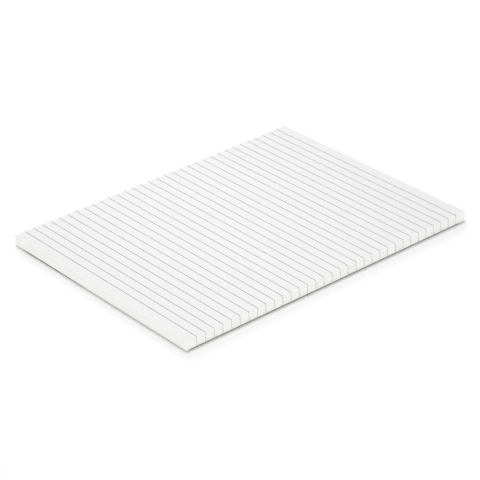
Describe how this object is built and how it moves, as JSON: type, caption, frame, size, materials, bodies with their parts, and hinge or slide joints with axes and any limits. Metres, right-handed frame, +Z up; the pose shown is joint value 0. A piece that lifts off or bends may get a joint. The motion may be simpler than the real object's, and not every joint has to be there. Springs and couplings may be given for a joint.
{
  "type": "notepad",
  "caption": "Flat writing pad of ruled white paper: loose-edged sheets glued along the head and backed with grey board, for handwriting.",
  "frame": {"origin": "middle of the backing board's underside, on the table", "axes": "+X along the ruled lines to the page's right, +Y up the page to the glued head, +Z up out of the top sheet"},
  "size_m": [0.216, 0.2799, 0.0088],
  "materials": {
    "white_paper": "uncoated, matt",
    "ruling_ink": "printed grey ruling, matt",
    "grey_board": "recycled chipboard, matt",
    "padding_glue": "dried white padding glue, satin"
  },
  "bodies": {
    "root": {"page_block": "white_paper", "ruled_lines": "ruling_ink", "backing_board": "grey_board", "binding_gum": "padding_glue"}
  },
  "joints": []
}
